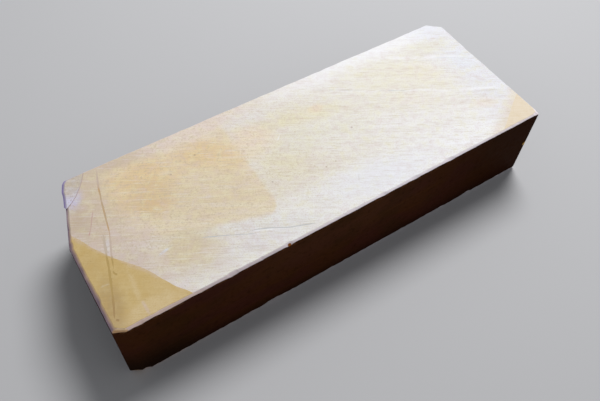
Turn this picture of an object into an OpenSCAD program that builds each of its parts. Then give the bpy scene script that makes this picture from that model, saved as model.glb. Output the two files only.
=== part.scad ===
// Natural bench whetstone: a squared block of bedded stone with worn corners, a cracked flake
// at one corner, healed seams in its honing face and a sealing coat round its sides.
// The origin is the middle of the base. +X runs along the block to its right end,
// +Y points to its far long side and +Z is up, towards the honing face.

/* [Block] */
// Length of the block over the coat on its ends
block_l = 205; // [190:1:230]
// Width of the block over the coat on its long sides
block_w = 74; // [68:1:86]
// Height from the base to the honing face
block_h = 40; // [34:1:50]
// Width of the flat that is ground along the upper arrises
top_arris = 1.2; // [0.6:0.1:2]
// Width of the flat that is ground along the lower arrises
base_arris = 0.8; // [0.4:0.1:1.5]
// How many times wider these flats are at the worn corners
corner_wear = 1.2; // [1.1:0.05:1.2]

/* [Worn corners] */
// Length that the far left corner has lost along the far edge
far_left_x = 9.8; // [8:0.1:14]
// Width that the far left corner has lost along the left end
far_left_y = 31.5; // [28:0.5:38]
// Length that the far right corner has lost along the far edge
far_right_x = 6.4; // [2:0.2:9]
// Width that the far right corner has lost along the right end
far_right_y = 5.2; // [2:0.2:8]
// Length that the near left corner has lost along the near edge
near_left_x = 4.4; // [2:0.2:8]
// Width that the near left corner has lost along the left end
near_left_y = 2.2; // [1.6:0.2:6]

/* [Beds] */
// How far the ochre bed shows along the near edge from the left end
ochre_edge = 32; // [20:1:60]
// How far the ochre bed shows along the left end from the near edge
ochre_end = 49.5; // [40:0.5:60]
// How far the ochre bed shows along the near edge from the right end
amber_edge = 23.5; // [8:0.5:40]
// How far the ochre bed shows along the right end from the near edge
amber_end = 15.5; // [8:0.5:30]
// Angle at which the ochre bed dips below the pale one
bed_dip = 12; // [10:0.5:14]

/* [Corner flake] */
// Length of the flake along the far edge
flake_edge = 8.5; // [5:0.5:12]
// Length of the flake along the worn corner
flake_break = 16.4; // [10:0.2:20]
// Bow of the crack in the honing face
flake_bow = 1.7; // [1:0.1:2.4]
// Depth of the crack below the honing face at the corner
flake_depth = 4; // [2.5:0.1:4.4]
// How far the flake stands out from the worn corner
flake_proud = 0.6; // [0.4:0.1:2]

/* [Seams] */
// Depth of every seam below the honing face
seam_depth = 3; // [1.5:0.5:3.5]
// Width of the long seam
long_seam_w = 0.7; // [0.3:0.1:1.2]
// Width of the near seam
near_seam_w = 0.6; // [0.3:0.1:1]
// Width of the short seam
short_seam_w = 0.5; // [0.3:0.1:1]
// Width of the hair seam
hair_seam_w = 0.4; // [0.3:0.1:0.8]

/* [Side seal] */
// Thickness of the sealing coat
seal_t = 0.4; // [0.2:0.1:0.8]
// Bare stone between the upper arris and the coat
seal_gap = 0.3; // [0.2:0.1:2]

/* [Hidden] */
// Facets round the crack's ball
$fn = 256;

half_l = block_l / 2;
half_w = block_w / 2;
// Overshoot of a cutter past the faces that it cuts
margin = 5;
// More than the length of any line that crosses the block
reach = block_l + block_w;

// Courses of the seams: distance from the left end, and share of the width from the far edge
long_seam_course = [[23.4, 0.035], [20.6, 0.145], [18.2, 0.29], [15.6, 0.455], [12.3, 0.59], [10.7, 0.665]];
near_seam_course = [[12.8, 0.465], [10.7, 0.59], [8.8, 0.68], [4.8, 0.85], [2.9, 0.915]];
short_seam_course = [[14.2, 0.285], [10.2, 0.385], [8.5, 0.42]];
hair_seam_course = [[43.7, 0.72], [54.9, 0.79], [65.5, 0.848], [75.2, 0.904], [84.3, 0.948]];

// Ends of the lines along which the ochre bed meets the honing face
ochre_line = [[-half_l, ochre_end - half_w], [ochre_edge - half_l, -half_w]];
amber_line = [[half_l - amber_edge, -half_w], [half_l, amber_end - half_w]];

// The worn far left corner, and the crack that crosses it from the far edge
break_from = [far_left_x - half_l, half_w];
break_to = [-half_l, half_w - far_left_y];
crack_from = [break_from.x + flake_edge, half_w];
crack_to = break_from + flake_break * unit(break_to - break_from);
crack_chord = crack_to - crack_from;
crack_out = unit([crack_chord.y, -crack_chord.x]);
crack_r = pow(norm(crack_chord), 2) / (8 * flake_bow) + flake_bow / 2;

// Ball whose surface is the crack: it cuts the honing face along the crack and dips to flake_depth
ball_plan = (crack_from + crack_to) / 2 + (crack_r - flake_bow) * crack_out;
ball_near = norm(break_from - ball_plan);
ball_rise = (pow(crack_r, 2) - pow(ball_near, 2) - pow(flake_depth, 2)) / (2 * flake_depth);
ball_r = norm([crack_r, ball_rise]);

// Share of the worn far left corner that is still missing where the flake stands proud
proud_share = 1 - flake_proud * norm([far_left_x, far_left_y]) / (far_left_x * far_left_y);

function unit(v) = v / norm(v);

// Outward normal of the edge from a to b of an outline that runs anticlockwise
function edge_normal(a, b) = unit([b.y - a.y, a.x - b.x]);

// Corners of the block seen from above, with a share of the far left corner missing
function block_corners(share) = [
    [near_left_x - half_l, -half_w],
    [half_l, -half_w],
    [half_l, half_w - far_right_y],
    [half_l - far_right_x, half_w],
    [share * far_left_x - half_l, half_w],
    [-half_l, half_w - share * far_left_y],
    [-half_l, near_left_y - half_w]
];

// Whether the edge that starts at corner i of the block is a worn corner
function is_worn(i) = i > 0 && i % 2 == 0;

// Corner p between two edges, after both edges have moved in by d
function inset_corner(p, before, after, d) = p - d * (before + after) / (1 + before * after);

function inset_outline(points, d) =
    let (n = len(points))
    [for (i = [0 : n - 1])
        inset_corner(points[i], edge_normal(points[(i + n - 1) % n], points[i]),
                     edge_normal(points[i], points[(i + 1) % n]), d)];

// Place in the honing face of a point of a seam's course
function on_face(p) = [p.x - half_l, half_w - p.y * block_w];

// Half the width of a seam at point i of its course, square to the course
function seam_side(course, i, w) =
    w / 2 * edge_normal(on_face(course[i - 1]), on_face(course[i + 1]));

// Outline of a seam that tapers to a point at both ends of its course
function seam_outline(course, w) =
    let (last = len(course) - 1)
    concat(
        [on_face(course[0])],
        [for (i = [1 : last - 1]) on_face(course[i]) + seam_side(course, i, w)],
        [on_face(course[last])],
        [for (i = [last - 1 : -1 : 1]) on_face(course[i]) - seam_side(course, i, w)]
    );

// Wedge that takes a flat of width w off the arris from a to b, upper or lower
module arris_cutter(a, b, w, upper) {
    out = edge_normal(a, b);
    side = upper ? 1 : -1;
    translate([b.x, b.y, upper ? block_h : 0])
        rotate([90, 0, atan2(out.y, out.x)])
            translate([0, 0, -margin])
                linear_extrude(norm(b - a) + 2 * margin)
                    polygon([[-w - margin, side * margin],
                             [margin, -side * (w + margin)],
                             [margin, side * margin]]);
}

// Bare block inside the coat, with a share of its far left corner missing
module stone(share = 1) {
    outline = inset_outline(block_corners(share), seal_t);
    difference() {
        linear_extrude(block_h)
            polygon(outline);
        for (i = [0 : len(outline) - 1]) {
            next = outline[(i + 1) % len(outline)];
            wear = is_worn(i) ? corner_wear : 1;
            arris_cutter(outline[i], next, wear * top_arris, true);
            arris_cutter(outline[i], next, wear * base_arris, false);
        }
    }
}

// Space below the parting that meets the honing face along a line and dips to the line's left
module below_parting(line) {
    along = line[1] - line[0];
    translate([line[0].x, line[0].y, block_h])
        rotate([0, 0, atan2(along.y, along.x)])
            rotate([-bed_dip, 0, 0])
                translate([-reach, -reach, -reach])
                    cube([2 * reach, 2 * reach, reach]);
}

module crack_ball() {
    translate([ball_plan.x, ball_plan.y, block_h + ball_rise])
        sphere(ball_r);
}

// Space of a seam, past the honing face
module seam_space(course, w) {
    translate([0, 0, block_h - seam_depth])
        linear_extrude(seam_depth + margin)
            polygon(seam_outline(course, w));
}

// Everything that is let into the beds
module let_in() {
    crack_ball();
    seam_space(long_seam_course, long_seam_w);
    seam_space(near_seam_course, near_seam_w);
    seam_space(short_seam_course, short_seam_w);
    seam_space(hair_seam_course, hair_seam_w);
}

module seam(course, w) {
    intersection() {
        stone();
        seam_space(course, w);
    }
}

// Lower bed: it makes the base and shows in the honing face at both near corners
module ochre_bed() {
    color("#BFA878")
        difference() {
            intersection() {
                stone();
                union() {
                    below_parting(ochre_line);
                    below_parting(amber_line);
                }
            }
            let_in();
        }
}

// Upper bed: it makes nearly all of the honing face
module pale_bed() {
    color("#E6DFCC")
        difference() {
            stone();
            below_parting(ochre_line);
            below_parting(amber_line);
            let_in();
        }
}

// Flake that a shell-shaped crack has parted from the far left corner
module corner_flake() {
    color("#D9DADF")
        intersection() {
            stone(proud_share);
            crack_ball();
        }
}

module long_seam() {
    color("#8A6A45")
        seam(long_seam_course, long_seam_w);
}

module near_seam() {
    color("#8F7048")
        seam(near_seam_course, near_seam_w);
}

module short_seam() {
    color("#B08878")
        seam(short_seam_course, short_seam_w);
}

module hair_seam() {
    color("#A6A9AC")
        seam(hair_seam_course, hair_seam_w);
}

// Brown coat round the four sides, broken away at the flake
module side_seal() {
    seal_h = block_h - base_arris - top_arris - seal_gap;
    outer = block_corners(1);
    color("#4A2A1A")
        difference() {
            translate([0, 0, base_arris])
                linear_extrude(seal_h)
                    difference() {
                        polygon(outer);
                        polygon(inset_outline(outer, seal_t));
                    }
            crack_ball();
        }
}

ochre_bed();
pale_bed();
corner_flake();
long_seam();
near_seam();
short_seam();
hair_seam();
side_seal();
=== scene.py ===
import math

import bpy
import numpy as np
from mathutils import Matrix, Vector, noise
from mathutils.geometry import convex_hull_2d


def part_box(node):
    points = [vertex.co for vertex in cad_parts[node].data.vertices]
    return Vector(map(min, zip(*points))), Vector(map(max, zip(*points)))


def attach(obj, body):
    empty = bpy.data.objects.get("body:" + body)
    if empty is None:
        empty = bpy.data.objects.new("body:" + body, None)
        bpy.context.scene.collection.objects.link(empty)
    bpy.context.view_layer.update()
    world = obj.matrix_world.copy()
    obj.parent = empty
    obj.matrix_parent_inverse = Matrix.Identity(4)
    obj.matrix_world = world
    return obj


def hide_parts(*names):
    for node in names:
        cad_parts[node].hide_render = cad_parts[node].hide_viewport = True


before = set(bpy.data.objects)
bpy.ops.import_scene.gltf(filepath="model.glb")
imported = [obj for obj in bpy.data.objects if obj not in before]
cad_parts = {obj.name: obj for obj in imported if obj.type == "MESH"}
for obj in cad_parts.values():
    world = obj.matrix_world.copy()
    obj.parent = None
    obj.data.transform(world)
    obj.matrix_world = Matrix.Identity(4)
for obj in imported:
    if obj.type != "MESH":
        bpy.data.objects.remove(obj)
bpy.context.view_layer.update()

MM = 0.001

# Places of the block's faces, from the frame
SEAL_LOW, SEAL_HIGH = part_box("side_seal")
LEFT_X, NEAR_Y = SEAL_LOW.x, SEAL_LOW.y
RIGHT_X, FAR_Y = SEAL_HIGH.x, SEAL_HIGH.y
HONING_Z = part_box("ochre_bed")[1].z
WIDTH = FAR_Y - NEAR_Y

# Points of the frame's outline that lie closer than this are one, and flatter bends are straight
SAME_PLACE = 0.1 * MM
STRAIGHT = math.radians(3)

# Outlines are walked this far inside the block, so that every ring of a piece lies outwards of it
WALK_INSET = 1.5 * MM
WALK_STEP = 0.5 * MM
# Easing of the upright corners: radius, and turn from one point of the arc to the next
CORNER_R = 0.5 * MM
CORNER_TURN = math.radians(12)
# Thickness of the coat, and how far outwards of the walked outline the coat and the stone reach
COAT = 0.2 * MM
OUTER_SIDE = WALK_INSET
STONE_SIDE = WALK_INSET - COAT
# Rings down the coat's outer face
COAT_LEVELS = 34

# Shading: edges that turn more than this angle are sharp
SHARP_EDGE = math.radians(32)
# Faces whose unit normal rises or falls by at least this are level, and are shaded flat
LEVEL = 0.9999

# Worn arrises: width of the upper one between its scallops, mean width of the lower one, and the section
# of both as shares of the width and of the height
ARRIS = 0.75 * MM
BASE_ARRIS = 0.7 * MM
ARRIS_PROFILE = ((1.0, 0.0), (0.86, 0.07), (0.5, 0.44), (0.12, 0.86), (0.0, 1.0))

# Partings between the beds: how far the ochre bed shows along the edges, and its dip
OCHRE_EDGE = 32 * MM
OCHRE_END = 49.5 * MM
AMBER_EDGE = 23.5 * MM
AMBER_END = 15.5 * MM
BED_DIP = math.radians(12)

# Crack behind the corner flake: its ends, bow and depth, and how far it stands open
FLAKE_EDGE = 8.5 * MM
FLAKE_BREAK = 16.4 * MM
FLAKE_BOW = 1.7 * MM
FLAKE_DEPTH = 4 * MM
CRACK_GAP = 0.18 * MM
# Swelling of the flake's broken face: distance along the worn corner and height above it, in mm
FLAKE_SWELL = ((0, 0), (1, 0.35), (2.4, 0.75), (4, 0.95), (6.8, 1.1), (8, 0.82), (9.2, 0.68),
               (17, 0.66), (30, 0))

# Seams: depth, and how far the vein lies below the honing face
SEAM_DEPTH = 3 * MM
SEAM_SINK = 0.03 * MM
# Courses of their strands: distance from the left end in mm, and share of the width from the far edge
LONG_SEAM = ((23.4, 0.035), (20.6, 0.145), (18.2, 0.29), (15.6, 0.455), (12.3, 0.59), (10.7, 0.665))
SIDE_HOOK = ((10.0, 0.676), (10.2, 0.69), (10.9, 0.704))
NEAR_SEAM = ((13.4, 0.443), (11.9, 0.518), (10.5, 0.59), (8.7, 0.68), (4.8, 0.85), (3.0, 0.916))
NEAR_HOOK = ((3.35, 0.924), (3.7, 0.929), (4.2, 0.936))
SHORT_SEAM = ((14.2, 0.285), (10.2, 0.385), (8.5, 0.42))
HAIR_SEAM = ((44.1, 0.725), (50.8, 0.769), (54.8, 0.794), (59.7, 0.828), (63.2, 0.854))
HAIR_BRANCH = ((61.7, 0.822), (67.9, 0.852), (75.6, 0.91), (78.0, 0.922), (81.1, 0.936), (85.6, 0.961))

# Directions of the lapping grain in the honing face and of the scratches across it
GRAIN = math.radians(-29)
CROSS_GRAIN = math.radians(52)

# Camera, fitted to the photograph's perspective
CAMERA_AT = Vector((-103.3, -143.0, 250.4)) * MM
CAMERA_AZIMUTH = math.radians(-35.6)
CAMERA_ELEVATION = math.radians(54.67)
CAMERA_ROLL = math.radians(3.58)
CAMERA_LENS = 38.7

# Stage, in metres and watts
FLOOR_HALF = 3.0
LAMP_AT = Vector((0.36, 0.25, 0.76))
LAMP_SIZE = 0.4
LAMP_POWER = 6.25
WORLD_COLOUR = (0.95, 0.97, 1.0, 1.0)
WORLD_STRENGTH = 0.26


def hue(red, green, blue):
    """A display colour of 0 to 255 as a linear one."""
    def linear(value):
        share = value / 255
        return share / 12.92 if share <= 0.04045 else ((share + 0.055) / 1.055) ** 2.4
    return (linear(red), linear(green), linear(blue), 1.0)


# Outlines


def neighbours(items):
    """Each item of a closed list with the one before it and the one after it."""
    return zip(items[-1:] + items[:-1], items, items[1:] + items[:1])


def plan_outline(node):
    """Corners of a node seen from above, anticlockwise, without the points along straight edges."""
    points = [vertex.co.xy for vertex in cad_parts[node].data.vertices]
    hull = []
    for index in convex_hull_2d(points):
        if not hull or (points[index] - hull[-1]).length > SAME_PLACE:
            hull.append(points[index])
    return [here for before, here, after in neighbours(hull)
            if (here - before).angle(after - here) > STRAIGHT]


def edge_normal(a, b):
    """Outward normal of the edge from a to b of an outline that runs anticlockwise."""
    along = (b - a).normalized()
    return Vector((along.y, -along.x))


def inset_outline(corners, distance):
    """An outline with every edge moved in by a distance."""
    moved = []
    for before, here, after in neighbours(corners):
        n0 = edge_normal(before, here)
        n1 = edge_normal(here, after)
        moved.append(here - distance * (n0 + n1) / (1 + n0.dot(n1)))
    return moved


def corner_arc(before, here, after):
    """Points round one eased corner, and how they move when the outline moves out by one unit."""
    n0 = edge_normal(before, here)
    n1 = edge_normal(here, after)
    move = (n0 + n1) / (1 + n0.dot(n1))
    steps = max(2, math.ceil(n0.angle(n1) / CORNER_TURN))
    normals = [n0.lerp(n1, k / steps).normalized() for k in range(steps + 1)]
    return [here + CORNER_R * (normal - move) for normal in normals], move


def walk(corners):
    """Points round an outline, set in from it, and how they move when it moves out by one unit."""
    arcs = [corner_arc(*three) for three in neighbours(inset_outline(corners, WALK_INSET))]
    points, moves = [], []
    for (arc, move), (following, next_move) in zip(arcs, arcs[1:] + arcs[:1]):
        points += arc
        moves += [move] * len(arc)
        count = max(1, round((following[0] - arc[-1]).length / WALK_STEP))
        for k in range(1, count):
            points.append(arc[-1].lerp(following[0], k / count))
            moves.append(move.lerp(next_move, k / count))
    return np.array(points), np.array(moves)


# Meshes


def mesh_object(name, vertices, faces):
    mesh = bpy.data.meshes.new(name)
    mesh.from_pydata([tuple(v) for v in vertices], [], faces)
    made = bpy.data.objects.new(name, mesh)
    bpy.context.scene.collection.objects.link(made)
    return made


def ring(path, out, z):
    """One ring of points round a path, moved outwards by out and lying at height z."""
    points, moves = path
    out = np.broadcast_to(out, len(points))
    z = np.broadcast_to(z, len(points))
    return np.column_stack([points + moves * out[:, None], z])


def wobble(points, size, seed):
    """Smooth noise from -1 to 1 at each point, with features of about one size."""
    shift = Vector((0.37, 0.71, 0.13)) + Vector((17.3, 9.1, 5.7)) * seed
    return np.array([noise.noise(Vector(point) / size + shift) for point in points])


def ring_faces(count, upper, lower):
    """Quads between two rings of a stack, facing outwards."""
    faces = []
    for i in range(count):
        j = (i + 1) % count
        faces.append((upper * count + i, lower * count + i, lower * count + j, upper * count + j))
    return faces


def stack(name, rings):
    """Closed solid through rings from the top down, with a flat face at each end."""
    count = len(rings[0])
    last = len(rings) - 1
    faces = [tuple(range(count)), tuple(range(last * count + count - 1, last * count - 1, -1))]
    for k in range(last):
        faces += ring_faces(count, k, k + 1)
    return mesh_object(name, np.vstack(rings), faces)


def sleeve(name, rings):
    """Closed tube wall through rings down its outside and up its inside."""
    count = len(rings[0])
    faces = []
    for k in range(len(rings)):
        faces += ring_faces(count, k, (k + 1) % len(rings))
    return mesh_object(name, np.vstack(rings), faces)


def space_above(name, low, high, step, floor, top):
    """Closed solid between an uneven floor and a flat top, over a rectangle of the plan."""
    xs = np.arange(low[0], high[0], step)
    ys = np.arange(low[1], high[1], step)
    plan_x, plan_y = [part.ravel() for part in np.meshgrid(xs, ys)]
    nx, ny = len(xs), len(ys)
    count = nx * ny
    vertices = np.vstack([np.column_stack([plan_x, plan_y, floor(plan_x, plan_y)]),
                          np.column_stack([plan_x, plan_y, np.full(count, top)])])
    faces = []
    for j in range(ny - 1):
        for i in range(nx - 1):
            a = j * nx + i
            quad = (a, a + 1, a + nx + 1, a + nx)
            faces.append(quad[::-1])
            faces.append(tuple(k + count for k in quad))
    rim = list(range(nx))
    rim += [j * nx + nx - 1 for j in range(1, ny)]
    rim += [(ny - 1) * nx + i for i in range(nx - 2, -1, -1)]
    rim += [j * nx for j in range(ny - 2, 0, -1)]
    for a, b in zip(rim, rim[1:] + rim[:1]):
        faces.append((a, b, b + count, a + count))
    return mesh_object(name, vertices, faces)


def extruded(name, outline, low, high):
    """Closed prism over an outline that runs anticlockwise."""
    rings = [np.array([(x, y, z) for x, y in outline]) for z in (high, low)]
    return stack(name, rings)


def carve(piece, cutter, operation):
    """Cuts a piece with a closed cutter, for good."""
    cut = piece.modifiers.new("cut", "BOOLEAN")
    cut.operation = operation
    cut.solver = "EXACT"
    cut.object = cutter
    shown = piece.evaluated_get(bpy.context.evaluated_depsgraph_get())
    mesh = bpy.data.meshes.new_from_object(shown)
    piece.modifiers.clear()
    piece.data = mesh


def joined(name, pieces):
    """One object with the meshes of several, which are removed."""
    vertices, faces = [], []
    for piece in pieces:
        first = len(vertices)
        vertices += [tuple(v.co) for v in piece.data.vertices]
        faces += [tuple(first + k for k in face.vertices) for face in piece.data.polygons]
        bpy.data.objects.remove(piece)
    return mesh_object(name, vertices, faces)


def dress(piece, material, slot, *nodes):
    """Finishes a piece: its material, its shading, the body it rides on and the nodes it stands for."""
    piece.data.materials.clear()
    piece.data.materials.append(material)
    piece.data.shade_smooth()
    piece.data.set_sharp_from_angle(angle=SHARP_EDGE)
    for face in piece.data.polygons:
        face.use_smooth = abs(face.normal.z) < LEVEL
    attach(piece, "root")
    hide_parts(*nodes)


# Shapes of the stone


OUTLINE = plan_outline("side_seal")
BREAK_FROM = min((c for c in OUTLINE if FAR_Y - c.y < SAME_PLACE), key=lambda c: c.x)
BREAK_TO = max((c for c in OUTLINE if c.x - LEFT_X < SAME_PLACE), key=lambda c: c.y)

# Bites out of the upper arris: place, length along the edge and depth
CHIPS = (
    (Vector((-55.3 * MM, NEAR_Y)), 2.2 * MM, 0.35 * MM),
    (Vector((-30.9 * MM, NEAR_Y)), 1.5 * MM, 0.35 * MM),
    (Vector((-1 * MM, NEAR_Y)), 2.4 * MM, 0.25 * MM),
    (Vector((14 * MM, NEAR_Y)), 2.0 * MM, 0.25 * MM),
    (Vector((31 * MM, NEAR_Y)), 2.6 * MM, 0.3 * MM),
    (Vector((50 * MM, NEAR_Y)), 2.2 * MM, 0.25 * MM),
    (Vector((RIGHT_X, NEAR_Y)), 2.2 * MM, 0.6 * MM),
    (BREAK_TO, 1.2 * MM, 0.5 * MM),
    (Vector((LEFT_X, -21 * MM)), 2.2 * MM, 0.3 * MM),
    (Vector((31 * MM, FAR_Y)), 2.4 * MM, 0.25 * MM),
    (Vector((RIGHT_X, 11 * MM)), 2.6 * MM, 0.25 * MM),
    (Vector((99.3 * MM, 34.4 * MM)), 4.5 * MM, 0.35 * MM),
)

# Bites out of the lower arris
BASE_CHIPS = (
    (Vector((LEFT_X + 2 * MM, NEAR_Y + 1 * MM)), 6.0 * MM, 2.2 * MM),
    (Vector((-38 * MM, NEAR_Y)), 4.0 * MM, 0.8 * MM),
    (Vector((71 * MM, NEAR_Y)), 3.0 * MM, 0.6 * MM),
    (Vector((RIGHT_X, -12 * MM)), 4.0 * MM, 0.7 * MM),
    (Vector((52 * MM, FAR_Y)), 5.0 * MM, 0.9 * MM),
    (Vector((-47 * MM, FAR_Y)), 3.0 * MM, 0.6 * MM),
)


def bites(points, chips):
    """How much chips add to the width of an arris at points along it."""
    total = np.zeros(len(points))
    for place, length, depth in chips:
        away = np.linalg.norm(points[:, :2] - np.array(place), axis=1) / length
        total += depth * np.sqrt(np.clip(1 - away ** 2, 0, None))
    return total


def far_side(path):
    """1 along the far side and the right end, 0 along the near side and the left end."""
    return np.clip(path[1].sum(axis=1), 0, 1)


def left_side(path):
    """1 along the left end and the worn corner beside it, 0 along the other sides."""
    return np.clip(-path[1][:, 0], 0, 1)


def arris_width(path):
    """Width of the worn upper arris along a path, with scallops, nibbles and chips."""
    points = ring(path, OUTER_SIDE, HONING_Z)
    sides = 0.2 * MM * far_side(path) + 0.7 * MM * left_side(path)
    scallops = 0.4 * MM * np.abs(wobble(points, 10 * MM, 1))
    ripple = 0.1 * MM * wobble(points, 2.4 * MM, 2)
    nibbles = 0.5 * MM * np.clip(wobble(points, 1.5 * MM, 3) - 0.35, 0, None)
    return ARRIS + sides + scallops + ripple + nibbles + bites(points, CHIPS)


def arris_height(path):
    """Height of the worn upper arris along a path: it is least along the near side's right half."""
    points = ring(path, OUTER_SIDE, HONING_Z)
    leftwards = np.clip((-10 * MM - points[:, 0]) / (30 * MM), 0, 1)
    others = 1 - np.maximum(far_side(path), left_side(path))
    slope = 0.75 + 0.55 * far_side(path) + 0.4 * leftwards * others
    return arris_width(path) * (slope + 0.25 * wobble(points, 4 * MM, 4))


def base_width(path):
    """Width and height of the worn lower arris along a path."""
    points = ring(path, OUTER_SIDE, 0.0)
    return BASE_ARRIS * (1 + 0.5 * wobble(points, 3 * MM, 6)) + bites(points, BASE_CHIPS)


def flake_swell(path):
    """How far the flake's broken face stands out from the bare stone of the worn corner."""
    from_corner = ring(path, OUTER_SIDE, 0.0)[:, :2] - np.array(BREAK_FROM)
    run = from_corner @ np.array((BREAK_TO - BREAK_FROM).normalized())
    off = from_corner @ np.array(edge_normal(BREAK_FROM, BREAK_TO))
    swell = np.interp(run / MM, *np.transpose(FLAKE_SWELL)) * MM
    return np.where(np.abs(off) < 0.3 * MM, swell, 0.0)


def block(name, swelling=None):
    """The bare block: worn arrises, a flat honing face and a flat base."""
    path = walk(OUTLINE)
    rim = ring(path, OUTER_SIDE, HONING_Z)
    width = arris_width(path)
    height = arris_height(path)
    base = base_width(path)
    inward = np.minimum(base, 0.9 * WALK_INSET)
    side = STONE_SIDE + (swelling(path) if swelling else 0.0)
    rings = []
    for share_out, share_down in ARRIS_PROFILE:
        rough = 0.07 * MM * wobble(rim, 0.9 * MM, 5 + share_down) * share_down * (1 - share_down) * 4
        rings.append(ring(path, side - width * share_out + rough, HONING_Z - height * share_down))
    for share_out, share_up in reversed(ARRIS_PROFILE):
        rings.append(ring(path, side - inward * share_out, base * share_up))
    return stack(name, rings)


def line_depth(start, end, x, y):
    """How far points lie to the left of a line in the plan."""
    along = (end - start).normalized()
    return (y - start.y) * along.x - (x - start.x) * along.y


OCHRE_LINE = (Vector((LEFT_X, NEAR_Y + OCHRE_END)), Vector((LEFT_X + OCHRE_EDGE, NEAR_Y)))
AMBER_LINE = (Vector((RIGHT_X - AMBER_EDGE, NEAR_Y)), Vector((RIGHT_X, NEAR_Y + AMBER_END)))
# Near edge of the tan cloud in the pale bed
TAN_EDGE = (Vector((-54 * MM, -14 * MM)), Vector((-28 * MM, -22 * MM)))
# Near right corner of this cloud
TAN_CORNER = (Vector((-29 * MM, -22 * MM)), Vector((-23.8 * MM, -16.3 * MM)))


def parting_wave(x, y):
    """How far the ochre bed's edge in the honing face swings past its straight line."""
    along = (OCHRE_LINE[1] - OCHRE_LINE[0]).normalized()
    run = (x - LEFT_X) * along.x + (y - OCHRE_LINE[0].y) * along.y
    plan = np.column_stack([x, y, np.zeros(len(x))])
    swing = 0.6 * MM * np.cos(2 * math.pi * (run - 5 * MM) / (31 * MM))
    return swing + 0.3 * MM * wobble(plan, 4 * MM, 8)


def parting_floor(x, y):
    """Height of the contact between the ochre bed and the pale bed above it."""
    depth = np.minimum(line_depth(*OCHRE_LINE, x, y), line_depth(*AMBER_LINE, x, y))
    return HONING_Z - (depth - parting_wave(x, y)) * math.tan(BED_DIP)


def crack_floor(gap):
    """Height of the ball-shaped crack behind the corner flake, with a gap all along it."""
    start = BREAK_FROM + Vector((FLAKE_EDGE, 0))
    end = BREAK_FROM + FLAKE_BREAK * (BREAK_TO - BREAK_FROM).normalized()
    chord = end - start
    face_r = chord.length ** 2 / (8 * FLAKE_BOW) + FLAKE_BOW / 2
    centre = (start + end) / 2 + (face_r - FLAKE_BOW) * edge_normal(start, end)
    near = (BREAK_FROM - centre).length
    rise = (face_r ** 2 - near ** 2 - FLAKE_DEPTH ** 2) / (2 * FLAKE_DEPTH)
    radius = math.hypot(face_r, rise) + gap

    def floor(x, y):
        plan = np.column_stack([x, y, np.zeros(len(x))])
        away = np.hypot(x - centre.x, y - centre.y) + 0.25 * MM * wobble(plan, 3 * MM, 9)
        return HONING_Z + rise - np.sqrt(np.clip(radius ** 2 - away ** 2, 0, None))
    return floor


def on_face(course):
    """A seam's course as points in the plan."""
    return [Vector((LEFT_X + x * MM, FAR_Y - share * WIDTH)) for x, share in course]


def smooth_course(course, count):
    """Points along a curve through a course, evenly spread between its points."""
    points = on_face(course)
    tangents = [(after - before) / 2 for before, after in
                zip(points[:1] + points[:-1], points[1:] + points[-1:])]
    curve = []
    for p0, p1, t0, t1 in zip(points, points[1:], tangents, tangents[1:]):
        for k in range(count):
            t = k / count
            curve.append(p0 * (2 * t ** 3 - 3 * t ** 2 + 1) + t0 * (t ** 3 - 2 * t ** 2 + t)
                         + p1 * (3 * t ** 2 - 2 * t ** 3) + t1 * (t ** 3 - t ** 2))
    return curve + points[-1:]


def seam_outline(course, width, seed):
    """Outline of a seam that wanders a little and swells and thins between its pointed ends."""
    curve = smooth_course(course, 8)
    last = len(curve) - 1
    left, right = [], []
    for i in range(1, last):
        side = edge_normal(curve[i - 1], curve[i + 1])
        spot = Vector((curve[i].x, curve[i].y, seed * MM))
        taper = min(1.0, 8 * i / last, 8 * (last - i) / last)
        half = width / 2 * taper * (0.85 + 0.5 * noise.noise(spot / (2.5 * MM)))
        drift = 0.15 * MM * noise.noise(spot / (3.5 * MM))
        right.append(curve[i] + side * (drift + half))
        left.append(curve[i] + side * (drift - half))
    return [curve[0]] + right + [curve[last]] + left[::-1]


# Strands of each seam: course, width and seed of its wandering
SEAMS = {
    "long_seam": [(LONG_SEAM, 0.7 * MM, 1)],
    "near_seam": [(NEAR_SEAM, 0.95 * MM, 2), (SIDE_HOOK, 0.7 * MM, 6), (NEAR_HOOK, 0.7 * MM, 7)],
    "short_seam": [(SHORT_SEAM, 0.45 * MM, 3)],
    "hair_seam": [(HAIR_SEAM, 0.42 * MM, 4), (HAIR_BRANCH, 0.52 * MM, 5)],
}


def strands(node, high):
    """Solids of a seam's strands, from the bottom of the seam up to a height."""
    return [extruded(node + "_strand", seam_outline(*strand), HONING_Z - SEAM_DEPTH, high)
            for strand in SEAMS[node]]


def seam_fill(node):
    """Vein that fills a seam, a little below the honing face."""
    return joined(node + "_vein", strands(node, HONING_Z - SEAM_SINK))


def seam_slots():
    """Cutters for all the slots that the seams lie in."""
    return [strand for node in SEAMS for strand in strands(node, HONING_Z + 1 * MM)]


def crack_space(name, gap):
    """Space of the corner flake, bounded by the crack."""
    margin, reach, step = 3 * MM, 26 * MM, 0.4 * MM
    low = (LEFT_X - margin, FAR_Y - reach)
    high = (LEFT_X + reach, FAR_Y + margin)
    return space_above(name, low, high, step, crack_floor(gap), HONING_Z + margin)


def pale_space():
    """Space of the pale bed, above the partings."""
    margin, step = 4 * MM, 1 * MM
    low = (LEFT_X - margin, NEAR_Y - margin)
    high = (RIGHT_X + margin, FAR_Y + margin)
    return space_above("pale_space", low, high, step, parting_floor, HONING_Z + 2 * margin)


def coat_ripple(points):
    """How far the coat's face lies below its highest places: brushed on over a hand-sawn side."""
    slow = 0.5 + 0.5 * wobble(points, 24 * MM, 10)
    quick = 0.5 + 0.5 * wobble(points, 5 * MM, 11)
    return 0.02 * MM + 0.06 * MM * slow + 0.05 * MM * quick


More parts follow.
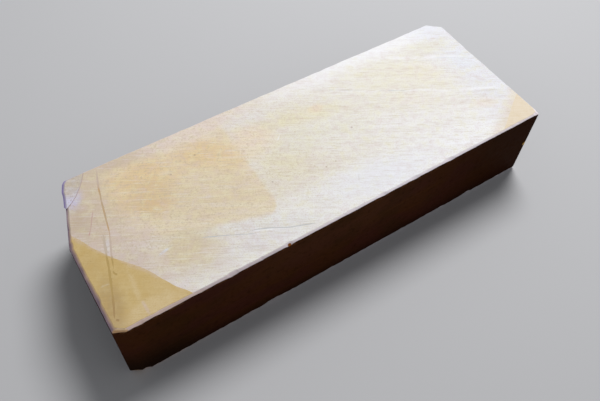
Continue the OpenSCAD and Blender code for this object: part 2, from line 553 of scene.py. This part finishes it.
def seal_coat():
    """Brown coat round the sides, with a ragged, feathered edge along both arrises."""
    path = walk(OUTLINE)
    rim = ring(path, OUTER_SIDE, HONING_Z)
    wear = np.abs(wobble(rim, 5 * MM, 12)) + 0.5 * np.abs(wobble(rim, 1.3 * MM, 13))
    top = HONING_Z - arris_height(path) - 0.05 * MM - 0.4 * MM * wear
    foot = base_width(path) + 0.1 * MM + 0.5 * MM * np.abs(wobble(rim, 4 * MM, 14))
    skin = STONE_SIDE + 0.03 * MM
    rings = [ring(path, skin, top)]
    for level in np.linspace(0, 1, COAT_LEVELS):
        z = (top - 0.45 * MM) * (1 - level) + (foot + 0.4 * MM) * level
        flat = ring(path, OUTER_SIDE, z)
        rings.append(ring(path, OUTER_SIDE - coat_ripple(flat), z))
    rings.append(ring(path, skin, foot))
    inner = STONE_SIDE - 0.05 * MM
    rings.append(ring(path, inner, foot + 0.1 * MM))
    rings.append(ring(path, inner, top - 0.1 * MM))
    return sleeve("side_seal_coat", rings)


# Materials


CREAM = hue(231, 225, 212)
CHALK = hue(240, 240, 239)
WHITE = hue(246, 247, 252)
MIST = hue(231, 234, 244)
FROST = hue(222, 227, 238)
SKY = hue(230, 240, 254)
IRIS = hue(197, 194, 230)
LILAC = hue(219, 200, 196)
BLUSH = hue(233, 217, 207)
ROSE = hue(203, 183, 162)
PEACH = hue(239, 219, 194)
STRAW = hue(233, 226, 190)
SAGE = hue(231, 230, 215)
TAN = hue(231, 213, 179)
ORANGE = hue(229, 195, 136)
OLIVE = hue(216, 197, 158)
OCHRE = hue(207, 181, 124)
GOLD = hue(203, 172, 110)
AMBER = hue(232, 218, 197)
GREY = hue(196, 198, 196)
UMBER = hue(138, 108, 84)
SEPIA = hue(185, 157, 98)
RUST = hue(150, 88, 24)
EDGE = hue(249, 238, 246)
SAND = hue(202, 182, 165)
MAUVE = hue(172, 146, 164)
CLAY = hue(196, 165, 145)
DUSK = hue(138, 118, 144)
HAZE = hue(194, 184, 208)
VIOLET = hue(160, 144, 200)

# Clouds of colour in the pale bed's honing face, in mm and degrees: place, length, width, turn, colour
# and strength
PALE_CLOUDS = (
    (-67, 18, 25, 29, 0, ORANGE, 0.72),
    (-50, 20, 20, 15, 0, ORANGE, 0.33),
    (-35, 17.5, 28, 14, -40, ORANGE, 0.67),
    (-66, 5.5, 13, 7, -20, ORANGE, 0.7),
    (-66, 9, 17, 16, -20, UMBER, 0.1),
    (-45, -1, 34, 22, -20, OLIVE, 0.4),
    (-65, -19, 25, 17, -12, OLIVE, 0.85),
    (-63, -30, 24, 9, -10, ROSE, 0.28),
    (-80, -5, 14, 26, 22, LILAC, 0.5),
    (-16, 15, 19, 16, -29, PEACH, 0.8),
    (-11, -2, 19, 14, -29, STRAW, 0.45),
    (9, 16, 34, 9, -12, STRAW, 0.66),
    (16.5, 17, 7, 4.5, 0, PEACH, 0.7),
    (8, 4, 44, 14, -12, SAGE, 0.6),
    (15, -3, 19, 18, 0, CHALK, 0.3),
    (42, 6, 28, 17, -29, STRAW, 0.15),
    (60, -2, 20, 9, -29, PEACH, 0.13),
    (60, 15, 48, 20, -29, STRAW, 0.33),
    (73, 10, 26, 10, -42, PEACH, 0.06),
    (50, -11, 38, 14, -20, WHITE, 0.3),
    (86, 23, 22, 8, -15, SAGE, 0.7),
    (85.5, -19.5, 13, 6, -20, PEACH, 0.4),
    (-34, -27, 44, 12, -24, FROST, 0.3),
    (-42, -27, 26, 9, -24, LILAC, 0.2),
    (-43, -30.5, 24, 7, -8, IRIS, 0.1),
    (-96, 11, 22, 8, 72, UMBER, 0.22),
    (-66, 34, 38, 7, 0, ROSE, 0.82),
    (18, -28, 46, 16, -8, MIST, 0.5),
    (-34, 33.5, 52, 11, 0, BLUSH, 0.85),
    (-94, 21.5, 8, 5, 40, IRIS, 0.35),
    (-13, 28, 20, 9, -10, MIST, 0.3),
    (16, 34, 26, 6, -4, BLUSH, 0.2),
    (-92.4, 24.6, 8, 4.4, 35, IRIS, 0.8),
    (95, 8, 12, 11, -29, SKY, 0.45),
    (-90, -2.6, 10, 1.8, 72, FROST, 0.48),
    (-72.4, -14.9, 5.6, 1.3, 14, FROST, 0.75),
)

# Single streaks and scratches in it, in mm: start, end, width, colour and strength
PALE_STREAKS = (
    ((24, 25), (50, 9), 1.8, WHITE, 0.4),
    ((22, 27), (42, 15), 0.9, GREY, 0.6),
    ((42, 14.5), (76, -4.5), 1.7, WHITE, 0.5),
    ((47, 12), (60, 4), 0.9, GREY, 0.7),
    ((66, -1), (102, -17), 1.6, WHITE, 0.6),
    ((72, -5), (98, -17.5), 0.7, GREY, 0.3),
    ((56, 31), (106, 4), 2.8, WHITE, 0.65),
    ((82, 16.5), (101, 6), 1.3, FROST, 0.7),
    ((64, 24.5), (88, 11), 0.7, GREY, 0.3),
    ((52, -28.5), (64, -34), 2.0, WHITE, 0.7),
    ((-55, -24.6), (-38, -33.6), 0.6, GREY, 0.3),
    ((-42, -23.6), (-26, -30.6), 0.9, WHITE, 0.6),
    ((-8, 9.5), (-4, 13), 0.8, WHITE, 0.5),
    ((9.5, -26), (12, -22.5), 0.5, GREY, 0.4),
)

# Dark specks in it, in mm: place and size
PALE_SPECKS = (
    (-41.6, 20.7, 0.9), (-54.6, 16.5, 0.8), (-19.9, 14.6, 0.6),
    (23.9, -0.5, 0.9), (-21, -8.1, 0.8), (2.2, -13, 0.7), (7.3, -12.4, 0.5),
)

# Stain at a chip of the near arris: place and size
RUST_SPOT = ((-30.7 * MM, NEAR_Y, HONING_Z - 0.7 * MM), 1.7 * MM)

# Height of a patch that is seen only from above
ALL_HEIGHTS = 1e3


class Paint:
    """A node material built step by step. The methods that make a value give its output socket."""

    def __init__(self, name, specular):
        self.material = bpy.data.materials.new(name)
        self.material.use_nodes = True
        self.tree = self.material.node_tree
        self.shader = self.tree.nodes["Principled BSDF"]
        self.shader.inputs["Specular IOR Level"].default_value = specular
        self.coordinates = self.node("ShaderNodeTexCoord").outputs["Object"]
        self.x, self.y, self.z = self.node("ShaderNodeSeparateXYZ", {0: self.coordinates}).outputs
        self.uneven = self.subtract(self.noise(6 * MM, 5.0), 0.5)

    def feed(self, socket, value):
        if isinstance(value, bpy.types.NodeSocket):
            self.tree.links.new(value, socket)
        else:
            socket.default_value = value

    def node(self, kind, inputs=(), **settings):
        made = self.tree.nodes.new(kind)
        for key, value in settings.items():
            setattr(made, key, value)
        for key, value in dict(inputs).items():
            self.feed(made.inputs[key], value)
        return made

    def calc(self, operation, a, b=0.0):
        return self.node("ShaderNodeMath", {0: a, 1: b}, operation=operation).outputs[0]

    def add(self, a, b):
        return self.calc("ADD", a, b)

    def subtract(self, a, b):
        return self.calc("SUBTRACT", a, b)

    def times(self, a, b):
        return self.calc("MULTIPLY", a, b)

    def place(self, size, at=(0, 0, 0), turn=0.0):
        """Coordinates about a place, turned in the plan and counted in sizes along each axis."""
        return self.node("ShaderNodeMapping", {
            "Vector": self.coordinates, "Location": at, "Rotation": (0, 0, turn), "Scale": size,
        }, vector_type="TEXTURE").outputs[0]

    def noise(self, size, detail=2.0, at=(0, 0, 0), turn=0.0):
        """Noise from 0 to 1, with features of a size along each axis."""
        size = size if isinstance(size, tuple) else (size, size, size)
        return self.node("ShaderNodeTexNoise", {
            "Vector": self.place(size, at, turn), "Scale": 1.0, "Detail": detail, "Roughness": 0.55,
        }).outputs["Fac"]

    def grain(self, length, width, detail=2.0, seed=0.0):
        """Noise drawn out along the lapping grain."""
        return self.noise((length, width, width), detail, (seed, seed, 0), GRAIN)

    def ramp(self, value, low, high):
        """0 to 1 as a value goes from low to high, with soft ends."""
        return self.node("ShaderNodeMapRange", {
            "Value": value, "From Min": low, "From Max": high,
        }, interpolation_type="SMOOTHSTEP").outputs[0]

    def tint(self, base, colour, amount, strength=1.0):
        """A colour laid over another by an amount."""
        amount = self.times(amount, strength) if strength != 1.0 else amount
        return self.node("ShaderNodeMix", {0: amount, 6: base, 7: colour}, data_type="RGBA").outputs[2]

    def line_depth(self, line):
        """How far the surface lies to the left of a line in the plan."""
        start, end = line
        along = (end - start).normalized()
        return self.subtract(self.times(self.subtract(self.y, start.y), along.x),
                             self.times(self.subtract(self.x, start.x), along.y))

    def away(self, place):
        """How far the surface lies from the middle of a place, counted in its sizes."""
        return self.node("ShaderNodeVectorMath", {0: place}, operation="LENGTH").outputs["Value"]

    def patch(self, x, y, length, width, turn=0.0, soft=0.6, ragged=1.0):
        """1 inside an oval patch of the honing face and 0 outside it, in mm and degrees."""
        size = (length / 2 * MM, width / 2 * MM, ALL_HEIGHTS)
        away = self.away(self.place(size, (x * MM, y * MM, 0), math.radians(turn)))
        return self.ramp(self.add(away, self.times(self.uneven, ragged)), 1 + soft, 1 - soft)

    def stroke(self, start, end, width):
        """1 along a thin stroke of the honing face and 0 beside it, in mm."""
        middle = (Vector(start) + Vector(end)) / 2
        run = Vector(end) - Vector(start)
        size = (run.length / 2 * MM, width / 2 * MM, ALL_HEIGHTS)
        place = self.place(size, (middle.x * MM, middle.y * MM, 0), math.atan2(run.y, run.x))
        along, across, _ = self.node("ShaderNodeSeparateXYZ", {0: place}).outputs
        across = self.add(self.calc("ABSOLUTE", across), self.times(self.uneven, 1.4))
        broken = self.ramp(self.uneven, 0.18, 0.0)
        ends = self.times(broken, self.ramp(self.calc("ABSOLUTE", along), 1.0, 0.5))
        return self.times(self.ramp(across, 1.3, 0.1), ends)

    def spot(self, at, size):
        """1 inside a small ball about a place and 0 outside it."""
        away = self.away(self.place((size / 2,) * 3, at))
        return self.ramp(self.add(away, self.uneven), 1.2, 0.8)

    def dots(self, spacing, size, share):
        """1 in round dots strewn over the surface and 0 between them, on a share of the places."""
        place = self.place((spacing,) * 3)
        cells = self.node("ShaderNodeTexVoronoi", {"Vector": place, "Scale": 1.0}).outputs
        red = self.node("ShaderNodeSeparateColor", {0: cells["Color"]}).outputs[0]
        radius = size / 2 / spacing
        dot = self.ramp(cells["Distance"], radius * 1.2, radius * 0.7)
        return self.times(dot, self.calc("LESS_THAN", red, share))

    def bump(self, height, distance, under=None):
        inputs = {"Height": height, "Distance": distance, "Strength": 1.0}
        if under is not None:
            inputs["Normal"] = under
        return self.node("ShaderNodeBump", inputs).outputs[0]

    def finish(self, colour, normal, roughness):
        self.feed(self.shader.inputs["Base Color"], colour)
        self.feed(self.shader.inputs["Normal"], normal)
        self.feed(self.shader.inputs["Roughness"], roughness)
        return self.material


def arris_tone(p, dim, upper, lower):
    """Tone of the worn arrises: it brightens along the block and, as painted shade, darkens downwards
    round the left end.
    """
    outwards = p.line_depth((BREAK_TO, BREAK_FROM))
    left = p.calc("MAXIMUM", p.subtract(LEFT_X, p.x), outwards)
    tone = p.tint(dim, EDGE, p.ramp(p.x, -100 * MM, 15 * MM))
    # Painted shade: the lower colour stands in for the shade of the rounded arris turning away from the
    # light
    painted_shade_down = p.tint(upper, lower, p.ramp(p.z, HONING_Z - 0.15 * MM, HONING_Z - 0.9 * MM))
    return p.tint(tone, painted_shade_down, p.ramp(left, -2.6 * MM, -2.1 * MM))


def lapped(p, colour, smooth, arris, dark, light, warm, cool):
    """Colour, normal and roughness of a bed: mottling, streaks, scratches, speckle, grit and arrises."""
    worn = p.ramp(p.z, HONING_Z - 0.03 * MM, HONING_Z - 0.15 * MM)
    face = p.subtract(1.0, worn)
    rough = p.subtract(1.0, smooth)
    mottle = p.noise(3.4 * MM, 5.0, (0.21, 0.43, 0))
    bands = p.grain(26 * MM, 1.7 * MM, 3.0)
    rubbed = p.times(face, rough)
    dashes = p.times(p.ramp(p.grain(5.5 * MM, 0.55 * MM, 2.0, 0.31), 0.48, 0.7), rubbed)
    gleams = p.times(p.ramp(p.grain(9 * MM, 0.5 * MM, 2.0, 0.83), 0.54, 0.74), face)
    scratches = p.times(p.ramp(p.grain(30 * MM, 0.3 * MM, 1.0, 0.57), 0.64, 0.74), face)
    across = p.noise((7 * MM, 0.35 * MM, 0.35 * MM), 1.0, (0.7, 0.1, 0), CROSS_GRAIN)
    crossing = p.times(p.ramp(across, 0.6, 0.76), face)
    far_left = p.times(p.ramp(p.x, 70 * MM, -60 * MM), p.ramp(p.y, -42 * MM, -8 * MM))
    speckle = p.ramp(p.noise(0.9 * MM, 2.0, (0.53, 0.27, 0)), 0.5, 0.72)
    speckle = p.times(p.times(speckle, rubbed), far_left)
    grit = p.noise(0.5 * MM, 3.0)
    pits = p.times(p.dots(2.6 * MM, 0.3 * MM, 0.5), rough)
    colour = p.tint(colour, warm, p.times(p.ramp(mottle, 0.42, 0.8), rough), 0.5)
    colour = p.tint(colour, cool, p.times(p.ramp(mottle, 0.58, 0.2), rough), 0.5)
    colour = p.tint(colour, dark, p.times(p.ramp(bands, 0.45, 0.7), rough), 0.1)
    colour = p.tint(colour, light, p.ramp(bands, 0.5, 0.3), 0.12)
    colour = p.tint(colour, dark, dashes, 0.3)
    colour = p.tint(colour, dark, speckle, 0.56)
    colour = p.tint(colour, light, gleams, 0.3)
    colour = p.tint(colour, light, scratches, 0.25)
    colour = p.tint(colour, light, crossing, 0.1)
    colour = p.tint(colour, dark, p.times(p.ramp(grit, 0.45, 0.75), rough), 0.48)
    colour = p.tint(colour, dark, pits, 0.6)
    colour = p.tint(colour, arris, worn, 0.85)
    lines = p.bump(p.subtract(1.0, p.add(dashes, p.add(scratches, crossing))), 0.02 * MM)
    holes = p.bump(p.subtract(1.0, pits), 0.08 * MM, lines)
    normal = p.bump(grit, 0.04 * MM, holes)
    return colour, normal, p.add(p.times(grit, 0.2), p.add(0.62, p.times(worn, 0.12)))


def pale_stone():
    p = Paint("pale_stone", 0.3)
    wander = p.times(p.uneven, 6 * MM)
    colour = p.tint(CREAM, CHALK, p.ramp(p.add(p.x, p.times(wander, 4.0)), -16 * MM, 44 * MM), 0.8)
    colour = p.tint(colour, CHALK, p.ramp(p.add(p.y, wander), -12 * MM, -24 * MM), 0.9)
    near_strip = p.times(p.ramp(p.y, -14 * MM, -30 * MM), p.ramp(p.x, -20 * MM, 20 * MM))
    far_strip = p.times(p.ramp(p.y, 23 * MM, 34 * MM), p.ramp(p.x, -30 * MM, 30 * MM))
    colour = p.tint(colour, WHITE, near_strip, 0.8)
    colour = p.tint(colour, WHITE, far_strip, 0.95)
    colour = p.tint(colour, MIST, p.ramp(p.add(p.x, wander), 74 * MM, 94 * MM), 0.9)
    right = p.ramp(p.add(p.x, p.times(wander, 0.5)), -23.4 * MM, -26 * MM)
    near = p.ramp(p.add(p.line_depth(TAN_EDGE), p.times(wander, 0.6)), -1.5 * MM, 1.5 * MM)
    corner = p.ramp(p.add(p.line_depth(TAN_CORNER), p.times(wander, 0.4)), -1 * MM, 1 * MM)
    colour = p.tint(colour, TAN, p.times(p.times(right, near), corner), 0.85)
    colour = p.tint(colour, ROSE, p.ramp(p.add(p.x, p.times(wander, 2.0)), -74 * MM, -85 * MM), 0.75)
    for x, y, length, width, turn, tone, strength in PALE_CLOUDS:
        colour = p.tint(colour, tone, p.patch(x, y, length, width, turn), strength)
    colour = p.tint(colour, LILAC, p.ramp(p.line_depth(OCHRE_LINE), 5 * MM, 0.5 * MM), 0.45)
    colour = p.tint(colour, AMBER, p.ramp(p.add(p.line_depth(AMBER_LINE), wander), 6 * MM, 0.0), 0.7)
    polish = p.calc("MAXIMUM", p.times(p.patch(18, -28, 46, 16, -8), 0.3), p.times(far_strip, 0.4))
    for start, end, width, tone, strength in PALE_STREAKS:
        mark = p.times(p.stroke(start, end, width), strength)
        colour = p.tint(colour, tone, mark)
        if tone is WHITE:
            polish = p.calc("MAXIMUM", p.times(mark, 0.7), polish)
    speckled = p.times(p.dots(2.2 * MM, 0.5 * MM, 0.4), p.patch(-56, 15, 40, 26))
    colour = p.tint(colour, UMBER, speckled, 0.22)
    for x, y, size in PALE_SPECKS:
        colour = p.tint(colour, UMBER, p.patch(x, y, size, size, soft=0.4, ragged=0.4), 0.6)
    arris = arris_tone(p, hue(231, 208, 210), SAND, MAUVE)
    colour, normal, roughness = lapped(p, colour, polish, arris, hue(197, 180, 154), WHITE, STRAW, LILAC)
    colour = p.tint(colour, RUST, p.spot(*RUST_SPOT))
    return p.finish(colour, normal, roughness)


def ochre_stone():
    p = Paint("ochre_stone", 0.3)
    colour = p.tint(OCHRE, GOLD, p.ramp(p.noise(13 * MM, 4.0, (0.1, 0.3, 0)), 0.35, 0.7), 0.6)
    colour = p.tint(colour, GOLD, p.ramp(p.line_depth(OCHRE_LINE), -5 * MM, 0.0), 0.15)
    colour = p.tint(colour, TAN, p.ramp(p.noise(5 * MM, 4.0), 0.55, 0.75), 0.18)
    colour = p.tint(colour, TAN, p.patch(-86, -34, 24, 8), 0.42)
    colour = p.tint(colour, TAN, p.patch(-80, -26, 9, 6), 0.14)
    colour = p.tint(colour, UMBER, p.patch(-98, -26, 22, 8, 80), 0.42)
    colour = p.tint(colour, UMBER, p.patch(-99, -7, 12, 8, 70), 0.08)
    parting = p.add(p.line_depth(OCHRE_LINE), p.times(p.uneven, 4 * MM))
    colour = p.tint(colour, LILAC, p.ramp(parting, -1.5 * MM, 0.5 * MM), 0.5)
    colour = p.tint(colour, LILAC, p.stroke((-88.4, -28.5), (-88.2, -37), 1.4), 0.6)
    colour = p.tint(colour, TAN, p.stroke((-86.5, -11), (-89.4, -31), 2.4), 0.3)
    colour = p.tint(colour, CREAM, p.stroke((-99, -16.6), (-95.4, -17.1), 0.9), 0.3)
    right = p.ramp(p.x, 40 * MM, 70 * MM)
    colour = p.tint(colour, AMBER, right)
    polish = p.times(right, 0.75)
    arris = arris_tone(p, hue(239, 212, 207), CLAY, DUSK)
    dark, light, cool = hue(196, 167, 108), hue(211, 187, 132), hue(214, 191, 140)
    colour, normal, roughness = lapped(p, colour, polish, arris, dark, light, GOLD, cool)
    corner = p.patch(-99.7, -35.8, 5.4, 2.0, -27, 0.2, 0.3)
    below = p.subtract(HONING_Z, p.z)
    colour = p.tint(colour, hue(246, 213, 166), p.times(corner, p.ramp(below, 0.03 * MM, 0.2 * MM)), 0.9)
    colour = p.tint(colour, RUST, p.times(corner, p.ramp(below, 0.4 * MM, 0.8 * MM)), 0.55)
    return p.finish(colour, normal, roughness)


def fresh_stone():
    p = Paint("fresh_stone", 0.3)
    towards_tip = p.ramp(p.add(p.y, p.times(p.uneven, 6 * MM)), 31 * MM, 24 * MM)
    colour = p.tint(hue(200, 186, 171), hue(208, 205, 238), towards_tip, 0.9)
    # Painted reflection: the flake's outward bevel is tinted violet for the bluish light it reflects
    outwards = p.ramp(p.line_depth((BREAK_TO, BREAK_FROM)), -0.6 * MM, 0.4 * MM)
    colour = p.tint(colour, VIOLET, outwards, 0.7)
    arris = arris_tone(p, HAZE, HAZE, VIOLET)
    return p.finish(*lapped(p, colour, outwards, arris, hue(176, 160, 146), WHITE, STRAW, FROST))


def vein(name, deep, rusty, faint, low=-40, high=40):
    """Mineral in a seam: it fades beyond a stretch of the width, in mm, and deepens in the ochre bed."""
    p = Paint(name, 0.3)
    colour = p.tint(deep, rusty, p.ramp(p.noise(7 * MM, 3.0), 0.4, 0.65))
    colour = p.tint(colour, faint, p.ramp(p.noise(2.2 * MM, 3.0), 0.5, 0.75), 0.6)
    colour = p.tint(colour, faint, p.ramp(p.y, (high - 2) * MM, (high + 2) * MM), 0.9)
    colour = p.tint(colour, faint, p.ramp(p.y, (low + 3) * MM, (low - 3) * MM), 0.9)
    depth = p.line_depth(OCHRE_LINE)
    colour = p.tint(colour, SEPIA, p.ramp(depth, 0.5 * MM, -1.5 * MM))
    colour = p.tint(colour, hue(168, 137, 98), p.ramp(depth, -10 * MM, -19 * MM), 0.7)
    grit = p.noise(0.4 * MM, 2.0)
    return p.finish(colour, p.bump(grit, 0.05 * MM), p.add(0.7, p.times(grit, 0.2)))


def lacquer():
    p = Paint("lacquer", 0.009)
    cloud = p.noise((34 * MM, 34 * MM, 14 * MM), 4.0)
    brushed = p.noise((55 * MM, 55 * MM, 1.0 * MM), 3.0)
    dapple = p.noise(2.2 * MM, 4.0)
    colour = p.tint(hue(70, 38, 17), hue(68, 34, 24), p.ramp(cloud, 0.38, 0.62))
    middle = p.times(p.ramp(p.x, -70 * MM, -20 * MM), p.ramp(p.x, 50 * MM, 10 * MM))
    colour = p.tint(colour, hue(80, 48, 28), p.times(middle, p.ramp(p.z, 14 * MM, 30 * MM)), 0.6)
    colour = p.tint(colour, hue(54, 34, 12), p.ramp(p.noise(19 * MM, 3.0, (0.2, 0.5, 0)), 0.5, 0.7), 0.5)
    colour = p.tint(colour, hue(88, 50, 24), p.ramp(brushed, 0.52, 0.78), 0.35)
    colour = p.tint(colour, hue(38, 18, 8), p.ramp(dapple, 0.52, 0.75), 0.4)
    # Painted shade: the coat darkens towards its foot, where shade falls near the floor
    colour = p.tint(colour, hue(34, 16, 8), p.ramp(p.z, 9 * MM, 0.0), 0.55)
    # Painted shade: the lower left of the coat is darkened
    shaded = p.times(p.ramp(p.x, -55 * MM, -95 * MM), p.ramp(p.z, 26 * MM, 6 * MM))
    colour = p.tint(colour, hue(30, 20, 12), shaded, 0.8)
    rubbed = p.times(p.ramp(p.z, HONING_Z - 3 * MM, HONING_Z - 1.4 * MM), p.ramp(dapple, 0.48, 0.6))
    colour = p.tint(colour, hue(120, 78, 46), rubbed, 0.5)
    # Painted shade: the coat darkens towards the right end, against the light the lit floor throws there
    colour = p.tint(colour, hue(42, 18, 2), p.ramp(p.x, 30 * MM, 95 * MM), 0.75)
    # Painted highlight: a bright golden spot near the right end of the near side stands for a glint on a
    # small bump; the strewn golden flecks are the coat's own
    painted_glint = p.spot((RIGHT_X - 0.8 * MM, NEAR_Y, 19.0 * MM), 2.2 * MM)
    flecks_and_glint = p.calc("MAXIMUM", p.times(p.dots(17 * MM, 0.8 * MM, 0.15), 0.8), painted_glint)
    colour = p.tint(colour, hue(196, 150, 62), flecks_and_glint)
    colour = p.tint(colour, RUST, p.spot(*RUST_SPOT))
    strokes = p.bump(brushed, 0.12 * MM)
    orange_peel = p.bump(dapple, 0.08 * MM, strokes)
    normal = p.bump(p.subtract(1.0, flecks_and_glint), 0.15 * MM, orange_peel)
    return p.finish(colour, normal, p.add(0.48, p.times(dapple, 0.3)))


# Stage


def studio_floor():
    half = FLOOR_HALF
    corners = [(-half, -half, 0), (half, -half, 0), (half, half, 0), (-half, half, 0)]
    floor = mesh_object("studio_floor", corners, [(0, 1, 2, 3)])
    p = Paint("studio_floor", 0.1)
    grit = p.noise(0.4 * MM, 2.0)
    floor.data.materials.append(p.finish(hue(196, 196, 198), p.bump(grit, 0.01 * MM), 0.9))


def studio_light():
    lamp = bpy.data.lights.new("key_lamp", "AREA")
    lamp.shape = "DISK"
    lamp.size = LAMP_SIZE
    lamp.energy = LAMP_POWER
    made = bpy.data.objects.new("key_lamp", lamp)
    made.location = LAMP_AT
    made.rotation_euler = (-LAMP_AT).to_track_quat("-Z", "Y").to_euler()
    bpy.context.scene.collection.objects.link(made)
    world = bpy.data.worlds.new("studio")
    world.use_nodes = True
    background = world.node_tree.nodes["Background"]
    background.inputs["Color"].default_value = WORLD_COLOUR
    background.inputs["Strength"].default_value = WORLD_STRENGTH
    bpy.context.scene.world = world


def camera():
    forward = Vector((-math.sin(CAMERA_AZIMUTH) * math.cos(CAMERA_ELEVATION),
                      math.cos(CAMERA_AZIMUTH) * math.cos(CAMERA_ELEVATION),
                      -math.sin(CAMERA_ELEVATION)))
    level = forward.cross(Vector((0, 0, 1))).normalized()
    upright = level.cross(forward)
    right = math.cos(CAMERA_ROLL) * level + math.sin(CAMERA_ROLL) * upright
    up = right.cross(forward)
    lens = bpy.data.cameras.new("camera")
    lens.lens = CAMERA_LENS
    lens.sensor_fit = "HORIZONTAL"
    lens.clip_start = 1 * MM
    made = bpy.data.objects.new("camera", lens)
    made.matrix_world = Matrix.Translation(CAMERA_AT) @ Matrix((right, up, -forward)).transposed().to_4x4()
    bpy.context.scene.collection.objects.link(made)
    bpy.context.scene.camera = made


def whetstone():
    above = pale_space()
    flake_space = crack_space("flake_space", 0.0)
    let_in = joined("let_in", [crack_space("flake_hollow", CRACK_GAP)] + seam_slots())

    ochre = block("ochre_bed_stone")
    carve(ochre, above, "DIFFERENCE")
    carve(ochre, let_in, "DIFFERENCE")
    dress(ochre, ochre_stone(), "ochre_stone", "ochre_bed")

    pale = block("pale_bed_stone")
    carve(pale, above, "INTERSECT")
    carve(pale, let_in, "DIFFERENCE")
    dress(pale, pale_stone(), "pale_stone", "pale_bed")

    flake = block("corner_flake_stone", flake_swell)
    carve(flake, flake_space, "INTERSECT")
    dress(flake, fresh_stone(), "fresh_stone", "corner_flake")

    coat = seal_coat()
    carve(coat, flake_space, "DIFFERENCE")
    dress(coat, lacquer(), "lacquer", "side_seal")

    brown = vein("brown_seam", hue(192, 168, 136), hue(196, 164, 124), hue(202, 184, 170), 3, 26)
    olive = vein("olive_seam", hue(184, 156, 92), hue(188, 156, 98), hue(202, 187, 172), -40, -8)
    red = vein("red_seam", hue(200, 172, 160), hue(196, 150, 142), hue(208, 188, 176))
    grey = vein("grey_seam", hue(206, 206, 206), hue(198, 199, 199), hue(214, 214, 213))
    for node, material, slot in (("long_seam", brown, "brown_seam"), ("near_seam", olive, "brown_seam"),
                                 ("short_seam", red, "red_seam"), ("hair_seam", grey, "grey_seam")):
        dress(seam_fill(node), material, slot, node)

    for cutter in (above, flake_space, let_in):
        bpy.data.objects.remove(cutter)


studio_floor()
studio_light()
camera()
whetstone()
bpy.context.scene.view_settings.view_transform = "Standard"
